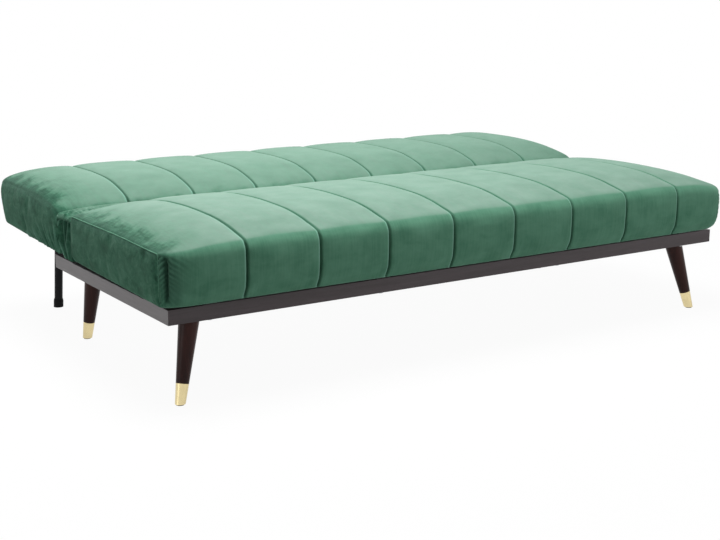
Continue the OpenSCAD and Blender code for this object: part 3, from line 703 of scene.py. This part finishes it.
class LineTree:
    """Geometry nodes that set small parts out along a line, evenly spaced and of one material."""

    def __init__(self, name, lengths):
        self.tree = bpy.data.node_groups.new(name, "GeometryNodeTree")
        sockets = self.tree.interface
        for way in ("INPUT", "OUTPUT"):
            sockets.new_socket(name="Geometry", in_out=way, socket_type="NodeSocketGeometry")
        for label, value in lengths.items():
            item = sockets.new_socket(name=label, in_out="INPUT", socket_type="NodeSocketFloat")
            item.default_value = value
        self.inputs = self.node("NodeGroupInput").outputs
        line = self.node("GeometryNodeMeshToCurve", Mesh=self.inputs["Geometry"])
        even = self.node("GeometryNodeResampleCurve", Curve=line.outputs["Curve"])
        even.mode = "LENGTH"
        connect(self.tree, self.inputs["Spacing"], even.inputs["Length"])
        self.curve = even.outputs["Curve"]

    def node(self, kind, **values):
        return add_node(self.tree, kind, **values)

    def set_out(self, part, stretch=(1.0, 1.0, 1.0), move=(0.0, 0.0, 0.0)):
        """Puts a part on every point, its Z along the line."""
        points = self.node("GeometryNodeCurveToPoints", Curve=self.curve)
        points.mode = "EVALUATED"
        parts = self.node("GeometryNodeInstanceOnPoints", Points=points.outputs["Points"], Instance=part,
                          Rotation=points.outputs["Rotation"], Scale=stretch)
        return self.node("GeometryNodeTranslateInstances", Instances=parts.outputs["Instances"],
                         Translation=move).outputs["Instances"]

    def finish(self, geometry, material):
        real = self.node("GeometryNodeRealizeInstances", Geometry=geometry)
        coat = self.node("GeometryNodeSetMaterial", Geometry=real.outputs["Geometry"], Material=material)
        self.node("NodeGroupOutput", Geometry=coat.outputs["Geometry"])
        return self.tree


def welt_tree():
    """A thin rolled seam with stitches that bed into it."""
    line = LineTree("welt", {"Spacing": 5.5*MM, "Seam radius": 1.3*MM, "Stitch radius": 0.45*MM})
    ring = line.node("GeometryNodeCurvePrimitiveCircle", Resolution=6, Radius=line.inputs["Seam radius"])
    roll = line.node("GeometryNodeCurveToMesh", Curve=line.curve, Profile_Curve=ring.outputs["Curve"],
                     Fill_Caps=True)
    bead = line.node("GeometryNodeMeshIcoSphere", Subdivisions=1, Radius=line.inputs["Stitch radius"])
    stitches = line.set_out(bead.outputs["Mesh"], (1.0, 1.0, 4.2), (0.0, 0.9*MM, 0.0))
    both = line.node("GeometryNodeJoinGeometry")
    for part in (roll.outputs["Mesh"], stitches):
        connect(line.tree, part, both.inputs["Geometry"])
    return line.finish(both.outputs["Geometry"], seam_velvet)


def staple_tree():
    """Flat wire staples along a line."""
    line = LineTree("staples", {"Spacing": 45*MM, "Wire": 1.1*MM, "Length": 11*MM})
    wire, length = line.inputs["Wire"], line.inputs["Length"]
    size = line.node("ShaderNodeCombineXYZ", X=wire, Y=wire, Z=length)
    box = line.node("GeometryNodeMeshCube", Size=size.outputs[0])
    return line.finish(line.set_out(box.outputs["Mesh"]), zinc)


def grown(name, points, edges, tree):
    """Runs a geometry nodes tree over lines and keeps the result as a plain mesh."""
    mesh = bpy.data.meshes.new(name + "_source")
    mesh.from_pydata([tuple(p) for p in points], edges, [])
    source = bpy.data.objects.new(name + "_source", mesh)
    bpy.context.collection.objects.link(source)
    source.modifiers.new("grow", "NODES").node_group = tree
    shown = source.evaluated_get(bpy.context.evaluated_depsgraph_get())
    result = bpy.data.meshes.new_from_object(shown)
    result.name = name
    bpy.data.objects.remove(source)
    piece = bpy.data.objects.new(name, result)
    bpy.context.collection.objects.link(piece)
    return piece


def end_welts(name, cushion_piece, params, body):
    """Rolled seam with stitches round both end panels, from the front's foot to the rear's."""
    proud, evened = 1.1*MM, 31
    places, normals = surface(cushion_piece)
    x, v, w = params.T
    runs = ((v <= 0) & (w > 0.10), w), ((w >= 1) & (v > 0) & (v < 1), v), ((v >= 1) & (w > 0.12), -w)
    points, edges = [], []
    for side in (-1, 1):
        at_end = np.abs(x - side*end_x) < 1e-6
        taken = [(np.flatnonzero(at_end & here), rank) for here, rank in runs]
        order = np.concatenate([run[np.argsort(rank[run])] for run, rank in taken])
        padded = np.pad(normals[order], ((evened//2, evened//2), (0, 0)), mode="edge")
        spread = np.ones(evened)/evened
        even = np.column_stack([np.convolve(padded[:, k], spread, "valid") for k in range(3)])
        line = places[order] + even*proud
        edges += [(len(points) + i, len(points) + i + 1) for i in range(len(line) - 1)]
        points += list(line)
    piece = grown(name, points, edges, welt_tree())
    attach(piece, body)


def frayed_edge(places, edge):
    """Distance to the end seam, made uneven."""
    return edge + 11*MM*waves(places, 0.06, 17) + 6*MM*waves(places, 0.018, 18)


def dark_shoulder(piece, edge):
    """Painted shade on the upturned faces beside the left end's seam."""
    places, normals = surface(piece)
    upper = smooth_step(0.1, 0.5, normals[:, 2])*(places[:, 0] < 0)
    return 0.85*upper*smooth_step(44*MM, 2*MM, frayed_edge(places, edge))


def crushed_ends(places, edge):
    """Crushed pile on the end panels and the shoulders beside them, with painted shade that makes the
    shoulders heaviest at the left end.
    """
    frayed = frayed_edge(places, edge)
    shoulder = 0.5*smooth_step(64*MM, 10*MM, frayed) + 0.5*smooth_step(180*MM, 25*MM, frayed)
    shoulder *= np.where(places[:, 0] < 0, 1.0, 0.35)
    return np.maximum(shoulder, 0.75*smooth_step(end_x - 4*MM, end_x - 1*MM, np.abs(places[:, 0])))


def brushed_flat(piece, tones, first, last):
    """Painted top light: pale over faces turned up, save where the pile is crushed."""
    return smooth_step(first, last, mesh_normals(piece)[:, 2])*(1 - tones["crush"])


def make_seat():
    piece, params, tones, edge, along = cushion("seat_cushion", seat_form, seat_depth)
    corner = np.linalg.norm(mesh_places(piece) - SOFT_CORNER, axis=1)
    soften(piece, smooth_step(120*MM, 35*MM, corner), 130)
    places = mesh_places(piece)
    places[:, 2] -= 3*MM*smooth_step(110*MM, 20*MM, corner)*smooth_step(0.30, 0.36, places[:, 2])
    set_places(piece, places)
    lower_corner = np.linalg.norm(places - LOW_CORNER, axis=1)
    soften(piece, smooth_step(60*MM, 20*MM, lower_corner), 30)
    seam_puckers(piece, edge, along, 13*MM, 11)
    corner_creases(piece, tones, 13)
    end_welts("seat_end_seams", piece, params, "base")
    places = mesh_places(piece)
    front = smooth_step(-0.50, -0.56, places[:, 1])
    # Crushed pile with painted shade heaviest at the left end, less on the front; painted top light;
    # painted shade on the left shoulder
    tones["crush"] = LEAST_CRUSH + crushed_ends(places, edge)*(1 - 0.7*front)
    tones["brushed"] = brushed_flat(piece, tones, 0.78, 0.95)
    tones["seam_depth"] += dark_shoulder(piece, edge)
    paint(piece, **tones)
    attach(piece, "base")
    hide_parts("seat_cover", "seat_foam")


def make_back():
    piece, params, tones, edge, along = cushion("back_cushion", back_form, back_depth)
    soften(piece, 1 - smooth_step(6*MM, 24*MM, edge), 16)
    seam_puckers(piece, edge, along, 16*MM, 21)
    drag_folds(piece, tones, 23)
    places, normals = surface(piece)
    # Crushed pile along the groove with painted shade there, weaker towards the right
    groove = 1 - smooth_step(0.095, 0.125, places[:, 1] + 7*MM*waves(places, 0.03, 25))
    groove *= 0.8 - 0.4*smooth_step(-0.5, 0.3, places[:, 0])
    tones["crush"] = LEAST_CRUSH + np.maximum(crushed_ends(places, edge), groove)
    # Painted top light, weaker on the back
    tones["brushed"] = 0.7*brushed_flat(piece, tones, 0.35, 0.85)
    # Painted scalloped shadow along the back's lower inner edge
    scallops = bell(places[:, 1] - 94*MM - 4*MM*waves(places, 0.016, 27), 7*MM)
    scallops *= smooth_step(0.3, 0.0, normals[:, 0]**2)*(places[:, 2] > 0.33)
    tones["seam_depth"] += dark_shoulder(piece, edge) + 1.3*scallops
    paint(piece, **tones)
    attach(piece, "back")
    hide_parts("back_cover", "back_foam")


# ---- Gussets and fold strip ----

VELVET_THICKNESS = 1.6*MM
# Ridge lines of a gusset's folds, by their share of its width from the seat to the back: height
# above the floor against place across the bed, in millimetres
RIDGES = {
    0.0: ((252, 10), (267, 16), (349, 12), (384, 8)),
    0.30: ((252, 33), (275, 46), (293, 55), (312, 48), (351, 34), (375, 26)),
    0.58: ((252, 35), (275, 51), (293, 61), (331, 66), (347, 68), (368, 60)),
    0.88: ((252, 38), (264, 58), (294, 93), (330, 99), (350, 90), (362, 74)),
    1.0: ((252, 70), (264, 92), (294, 108), (330, 112), (350, 108), (362, 100)),
}
# How deep the velvet falls between those lines
VALLEYS = (11, 17, 15, 0)


def finish_cloth(piece, thickness, material):
    piece.data.materials.append(material)
    solid = piece.modifiers.new("cloth_thickness", "SOLIDIFY")
    solid.thickness = thickness
    solid.offset = 0
    solid.use_rim = True


def grid_faces(rows, columns):
    return [(i*columns + j, (i + 1)*columns + j, (i + 1)*columns + j + 1, i*columns + j + 1)
            for i in range(rows - 1) for j in range(columns - 1)]


def make_gusset(name, side):
    """Leaf-shaped folds that close the gap between the two cushions at one end."""
    across, upward = np.linspace(0, 1, 97), np.linspace(0, 1, 61)
    p, q = (a.ravel() for a in np.meshgrid(across, upward, indexing="ij"))
    foot, top = 253*MM + 4*MM*p, 378*MM - 22*MM*p**0.9
    z = foot + (top - foot)*q
    marks, lines = list(RIDGES), [np.interp(z/MM, *zip(*line)) for line in RIDGES.values()]
    y, valley = np.zeros(len(p)), np.zeros(len(p))
    for i, depth in enumerate(VALLEYS):
        here = (p >= marks[i]) & (p <= marks[i + 1])
        t = (p[here] - marks[i])/(marks[i + 1] - marks[i])
        y[here] = lines[i][here]*(1 - t) + lines[i + 1][here]*t
        valley[here] = depth*np.sin(math.pi*t)**0.75
    spread = np.clip((lines[3] - lines[1])/45, 0.15, 1)
    x = end_x - 1*MM + 3*MM*smooth_step(0.5, 0.88, p) - valley*MM*spread
    x -= 12*MM*smooth_step(0.12, 0.0, p) + 11*MM*smooth_step(0.90, 1.0, p)
    x -= 14*MM*smooth_step(0.88, 1.0, q)**2
    piece = mesh_object(name, np.column_stack([side*x, y*MM, z]), grid_faces(len(across), len(upward)))
    # Painted shade deep in the folds, painted highlight on their ridges, and the crush share at its full
    shade = 1.2*(valley/max(VALLEYS))**1.5
    paint(piece, seam_depth=shade, pale_edge=0.7*bell(valley, 2.0), crush=np.ones(len(p)))
    finish_cloth(piece, VELVET_THICKNESS, velvet)
    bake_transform(piece)


def make_fold_strip():
    """Gathered strip of velvet that lines the groove between the two cushions."""
    along, across = np.linspace(-1, 1, 901)*(end_x + 1*MM), np.linspace(0, 1, 25)
    held = np.clip(along, -end_x, end_x)
    seat_edge = seat_form.places(np.column_stack([held, held*0 + 1.0, held*0 + 0.93]))
    back_edge = back_form.places(np.column_stack([held, held*0 + 0.045, held*0 + 1.0]))
    t = across[None, :, None]
    places = (seat_edge[:, None]*(1 - t) + back_edge[:, None]*t).reshape(-1, 3)
    x, share = np.repeat(along, len(across)), np.tile(across, len(along))
    places[:, 0] = x
    free = np.sin(math.pi*share)
    reach = np.abs(x)/end_x
    line = np.column_stack([x, x*0, x*0])
    gathers = waves(line, 0.017, 31) + 0.6*waves(places, 0.026, 32)
    strong = 0.45 + 0.55*smooth_step(0.45, 0.95, reach)
    dip = 15*MM*(1 - smooth_step(0.86, 0.92, reach))
    turned = 12*MM*np.clip((np.abs(x) - end_x + 8*MM)/(9*MM), 0, 1)**2
    places[:, 2] += (3.2*MM*gathers*strong - dip + 1.5*MM)*free - turned
    places[:, 1] += 2.2*MM*waves(places, 0.024, 33)*free*strong
    at_end = smooth_step(end_x - 60*MM, end_x - 15*MM, np.abs(x))
    # Painted shade in the hollows of the gathers; crush share rising towards the ends; painted top light at
    # half strength in the middle, away from the shade
    shade = free*smooth_step(0.6, -0.9, gathers)
    piece = mesh_object("fold_strip", places, grid_faces(len(along), len(across)))
    paint(piece, seam_depth=0.75*shade, crush=0.3 + 0.7*at_end, brushed=0.5*(1 - at_end)*(1 - shade))
    finish_cloth(piece, VELVET_THICKNESS, velvet)
    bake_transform(piece)


# ---- Black underlinings ----

# How much narrower an underlining is at its front corners
DRAWN_IN = 0.03
STAPLE_INSET = 9*MM


def make_underlining(name, node, body, sag):
    """Black cloth stapled under a cushion, a little slack between its staples."""
    low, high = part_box(node)
    depth, rise = high[1] - low[1], high[2] - low[2] - 1.5*MM
    slope = rise if rise > 3*MM else 0.0

    def height(x, y):
        a, t = x/high[0], (y - low[1])/depth
        slack = np.sqrt(np.clip(1 - a**8, 0, 1))*np.clip(np.sin(math.pi*t), 0, 1)**0.6
        z = low[2] + slope*t - sag*slack*(0.75 + 0.25*waves(np.column_stack([x, y, x*0]), 0.22, 41))
        edge = np.minimum(np.minimum(t, 1 - t)*depth, (1 - np.abs(a))*high[0])
        return z + 1.0*MM*np.exp(-edge/(18*MM))*np.abs(np.sin(math.pi*(x + y)/(60*MM)))

    def drawn_in(x, y):
        return x*(1 - DRAWN_IN*smooth_step(low[1] + 110*MM, low[1] + 20*MM, y))

    xs, ys = np.linspace(-high[0], high[0], 241), np.linspace(low[1], high[1], 71)
    x, y = (v.ravel() for v in np.meshgrid(xs, ys, indexing="ij"))
    x = drawn_in(x, y)
    piece = mesh_object(name, np.column_stack([x, y, height(x, y)]), grid_faces(len(xs), len(ys)))
    finish_cloth(piece, 0.8*MM, underlining)
    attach(piece, body)
    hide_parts(node)
    make_staples(name.replace("underlining", "staples"), low, high, drawn_in, height, body)


def make_staples(name, low, high, drawn_in, height, body):
    """Staples all round an underlining, a little inside its edge."""
    right, front, rear = high[0] - STAPLE_INSET, low[1] + STAPLE_INSET, high[1] - STAPLE_INSET
    along, deep = np.linspace(-right, right, 120), np.linspace(front, rear, 30)
    ring = [(x, front) for x in along] + [(right, y) for y in deep[1:]]
    ring += [(x, rear) for x in along[-2::-1]] + [(-right, y) for y in deep[-2:0:-1]]
    x, y = np.array(ring).T
    x = drawn_in(x, y)
    points = np.column_stack([x, y, height(x, y) - 0.8*MM])
    edges = [(i, (i + 1) % len(points)) for i in range(len(points))]
    piece = grown(name, points, edges, staple_tree())
    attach(piece, body)


# ---- Materials ----

EVEN = (1, 1, 1)


class Shader:
    """A material with a Principled shader and short calls for its nodes."""

    def __init__(self, name, **values):
        self.material = bpy.data.materials.new(name)
        self.material.use_nodes = True
        self.tree = self.material.node_tree
        self.main = set_inputs(self.tree, self.tree.nodes["Principled BSDF"], **values)
        self.place = self.node("ShaderNodeTexCoord").outputs["Object"]

    def node(self, kind, **values):
        return add_node(self.tree, kind, **values)

    def noise(self, scale, stretch=EVEN, detail=3.0, roughness=0.5, distortion=0.0):
        places = self.node("ShaderNodeMapping", Scale=stretch, Vector=self.place).outputs["Vector"]
        return self.node("ShaderNodeTexNoise", Scale=scale, Detail=detail, Roughness=roughness,
                         Distortion=distortion, Vector=places).outputs["Fac"]

    def ramp(self, value, stops):
        node = self.node("ShaderNodeValToRGB", Fac=value)
        while len(node.color_ramp.elements) < len(stops):
            node.color_ramp.elements.new(0.5)
        for element, (place, colour) in zip(node.color_ramp.elements, stops):
            element.position = place
            element.color = (*colour, 1)
        return node.outputs["Color"]

    def mix(self, share, first, second):
        node = self.node("ShaderNodeMix")
        node.data_type = "RGBA"
        for value, socket in ((share, node.inputs[0]), (first, node.inputs[6]), (second, node.inputs[7])):
            connect(self.tree, (*value, 1) if isinstance(value, tuple) else value, socket)
        return node.outputs[2]

    def maths(self, kind, *values):
        return maths(self.tree, kind, *values)

    def attribute(self, name):
        node = self.node("ShaderNodeAttribute")
        node.attribute_name = name
        return node.outputs["Fac"]

    def span(self, value, low, high, first=0.0, last=1.0):
        """Carries the values from first to last over to those from low to high."""
        return self.node("ShaderNodeMapRange", Value=value, From_Min=first, From_Max=last, To_Min=low,
                         To_Max=high).outputs[0]

    def bump(self, height, strength, distance, below=None):
        return self.node("ShaderNodeBump", Height=height, Strength=strength, Distance=distance,
                         Normal=below).outputs["Normal"]

    def done(self, colour, roughness=None, normal=None):
        set_inputs(self.tree, self.main, Base_Color=colour, Roughness=roughness, Normal=normal)
        return self.material


# Upright pile in its shade, half shade, light and highlight
UPRIGHT_PILE = (0.010, 0.066, 0.034), (0.034, 0.140, 0.080), (0.100, 0.258, 0.168), (0.145, 0.345, 0.235)
# Painted top light: pale, greyer colours for faces turned up, standing in for the overhead light and sheen
# on the top
FLAT_PILE = (0.180, 0.290, 0.230), (0.236, 0.350, 0.288)
# Colours of the painted highlight on seam edges and fold ridges, and of the painted shade in seams, creases
# and fold hollows
PALE_EDGE, SEAM_SHADE = (0.24, 0.50, 0.38), (0.020, 0.070, 0.045)


def velvet_material(name, lift=1.0):
    """Green velvet whose colour follows the shares kept at each point: crushed pile, painted top light,
    painted highlight and painted shade; lift makes it lighter.
    """
    s = Shader(name, Sheen_Weight=0.27, Sheen_Roughness=0.42, Sheen_Tint=(0.64, 1.0, 0.81, 1),
               Specular_IOR_Level=0.12, Roughness=0.9)
    crush = s.attribute("crush")
    dark, deep, mid, pale = (tuple(c*lift for c in tone) for tone in UPRIGHT_PILE)
    nap = s.ramp(s.noise(11.0, (1, 1.3, 1.6), 5.0, 0.6, 0.3), [(0.34, deep), (0.52, mid), (0.70, pale)])
    colour = s.mix(0.42, mid, nap)
    marks = s.noise(34.0, (1, 1, 1.2), 6.0, 0.68, 0.6)
    colour = s.mix(crush, colour, s.ramp(marks, [(0.36, dark), (0.52, deep), (0.74, mid)]))
    # Painted top light over faces turned up
    flat = s.ramp(s.noise(16.0, EVEN, 5.0, 0.6), list(zip((0.32, 0.68), FLAT_PILE)))
    colour = s.mix(s.attribute("brushed"), colour, flat)
    strokes = s.noise(210.0, (1, 0.06, 0.06), 2.0, 0.6)
    colour = s.mix(s.span(strokes, 0.0, 0.19, 0.40, 0.60), colour, pale)
    # Painted highlight, then painted shade
    colour = s.mix(s.maths("MULTIPLY", s.attribute("pale_edge"), 0.65), colour, PALE_EDGE)
    colour = s.mix(s.maths("MULTIPLY", s.attribute("seam_depth"), 0.7), colour, SEAM_SHADE)
    normal = s.bump(s.noise(900.0, EVEN, 2.0, 0.6), 0.25, 0.6*MM)
    return s.done(colour, normal=s.bump(s.maths("MULTIPLY", marks, crush), 0.4, 3*MM, normal))


def wood_material(name, dark, light, gloss, grain_way, shine):
    s = Shader(name, Specular_IOR_Level=shine)
    grain = s.noise(26.0, grain_way, 6.0, 0.62, 0.5)
    pores = s.noise(170.0, grain_way, 3.0, 0.6)
    colour = s.mix(s.span(pores, 0.0, 0.35), s.ramp(grain, [(0.3, dark), (0.68, light)]), dark)
    normal = s.bump(s.maths("ADD", grain, pores), 0.12, 0.6*MM)
    return s.done(colour, s.span(pores, gloss, gloss + 0.18), normal)


def metal_material(name, colour, roughness, brushed=EVEN):
    s = Shader(name, Metallic=1.0)
    marks = s.noise(240.0, brushed, 3.0, 0.6)
    tone = s.ramp(s.noise(30.0), [(0.3, tuple(c*0.8 for c in colour)), (0.7, colour)])
    return s.done(tone, s.span(marks, roughness, roughness + 0.16), s.bump(marks, 0.08, 0.4*MM))


def matt_material(name, dark, light, roughness, grain=300.0, height=0.4*MM):
    s = Shader(name, Specular_IOR_Level=0.12)
    speck, cloud = s.noise(grain, EVEN, 4.0, 0.6), s.noise(12.0, EVEN, 2.0)
    tone = s.ramp(s.maths("MULTIPLY", speck, cloud), [(0.1, dark), (0.45, light)])
    return s.done(tone, s.span(speck, roughness, roughness + 0.12), s.bump(speck, 0.2, height))


def cloth_material(name, dark, light):
    s = Shader(name, Specular_IOR_Level=0.2, Sheen_Weight=0.2)
    fibres = s.maths("MULTIPLY", s.noise(700.0, (1, 0.12, 1), 2.0), s.noise(700.0, (0.12, 1, 1), 2.0))
    tone = s.ramp(fibres, [(0.12, dark), (0.4, light)])
    return s.done(tone, s.span(fibres, 0.8, 0.95), s.bump(fibres, 0.4, 0.5*MM))


def floor_material():
    """Shows plain white, a little darker where the bed's shadow falls."""
    s = Shader("pale_floor", Specular_IOR_Level=0.1, Roughness=0.9)
    white = s.node("ShaderNodeEmission", Color=WHITE, Strength=1.0)
    distance = s.node("ShaderNodeVectorMath")
    distance.operation = "LENGTH"
    connect(s.tree, s.place, distance.inputs[0])
    seen = sees_plain_white(s.tree)
    share = s.maths("MULTIPLY", seen, s.span(distance.outputs["Value"], 0.95, 1.0, 1.2, 3.2))
    s.done(s.mix(seen, (0.40, 0.40, 0.40), (0.95, 0.95, 0.95)))
    shown = mix_shaders(s.tree, share, s.main, white)
    set_inputs(s.tree, s.tree.nodes["Material Output"], Surface=shown)
    return s.material


def grey(value):
    return (value,)*3


RAIL_TONES = (0.055, 0.044, 0.046), (0.101, 0.082, 0.088)
velvet = velvet_material("green_velvet")
# Lighter copy of the velvet for the end seams' welts: a painted highlight where the raised welt catches the
# light
seam_velvet = velvet_material("green_velvet_seams", 1.2)
rail_x_wood = wood_material("rail_wood_lengthwise", *RAIL_TONES, 0.30, (0.05, 1, 1), 0.28)
rail_y_wood = wood_material("rail_wood_crosswise", *RAIL_TONES, 0.30, (1, 0.05, 1), 0.75)
leg_wood = wood_material("leg_wood", (0.018, 0.006, 0.005), (0.075, 0.024, 0.019), 0.22, (1, 1, 0.06), 0.14)
brass = metal_material("brushed_brass", (0.76, 0.64, 0.36), 0.2, (1, 1, 0.08))
zinc = metal_material("zinc_plate", (0.55, 0.56, 0.58), 0.3)
black_steel = matt_material("black_powder_coat", (0.006, 0.006, 0.007), (0.020, 0.020, 0.022), 0.34)
rubber = matt_material("black_rubber", grey(0.006), grey(0.016), 0.6, 500.0)
plastic = matt_material("black_plastic", grey(0.010), grey(0.022), 0.45, 400.0)
underlining = cloth_material("black_underlining", grey(0.006), grey(0.024))
foam = matt_material("cream_foam", (0.55, 0.50, 0.38), (0.78, 0.73, 0.60), 0.9, 700.0, 1*MM)


# Materials of the carried-over nodes: the first with an ending that fits a node's name
DRESS = (
    (foam, "_foam"), (underlining, "_cover", "_dust_cloth"),
    (rail_y_wood, "left_rail", "right_rail", "_cross_rail", "corner_blocks"),
    (rail_x_wood, "_rail", "seat_bearer"), (brass, "_ferrule"),
    (black_steel, "_support_leg", "_tube", "_tubes", "leg_plates"), (leg_wood, "_leg"),
    (rubber, "rubber_foot"), (plastic, "leg_glides", "seat_spacers"), (zinc, ""),
)


def dress_nodes():
    for name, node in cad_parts.items():
        node.data.materials.clear()
        node.data.materials.append(next(look for look, *ends in DRESS if name.endswith(tuple(ends))))


make_camera()
make_light()
make_floor()
dress_nodes()
make_seat()
make_back()
make_gusset("left_gusset", -1)
make_gusset("right_gusset", 1)
make_fold_strip()
make_underlining("seat_underlining", "seat_dust_cloth", "base", 1.5*MM)
make_underlining("back_underlining", "back_dust_cloth", "back", 4*MM)
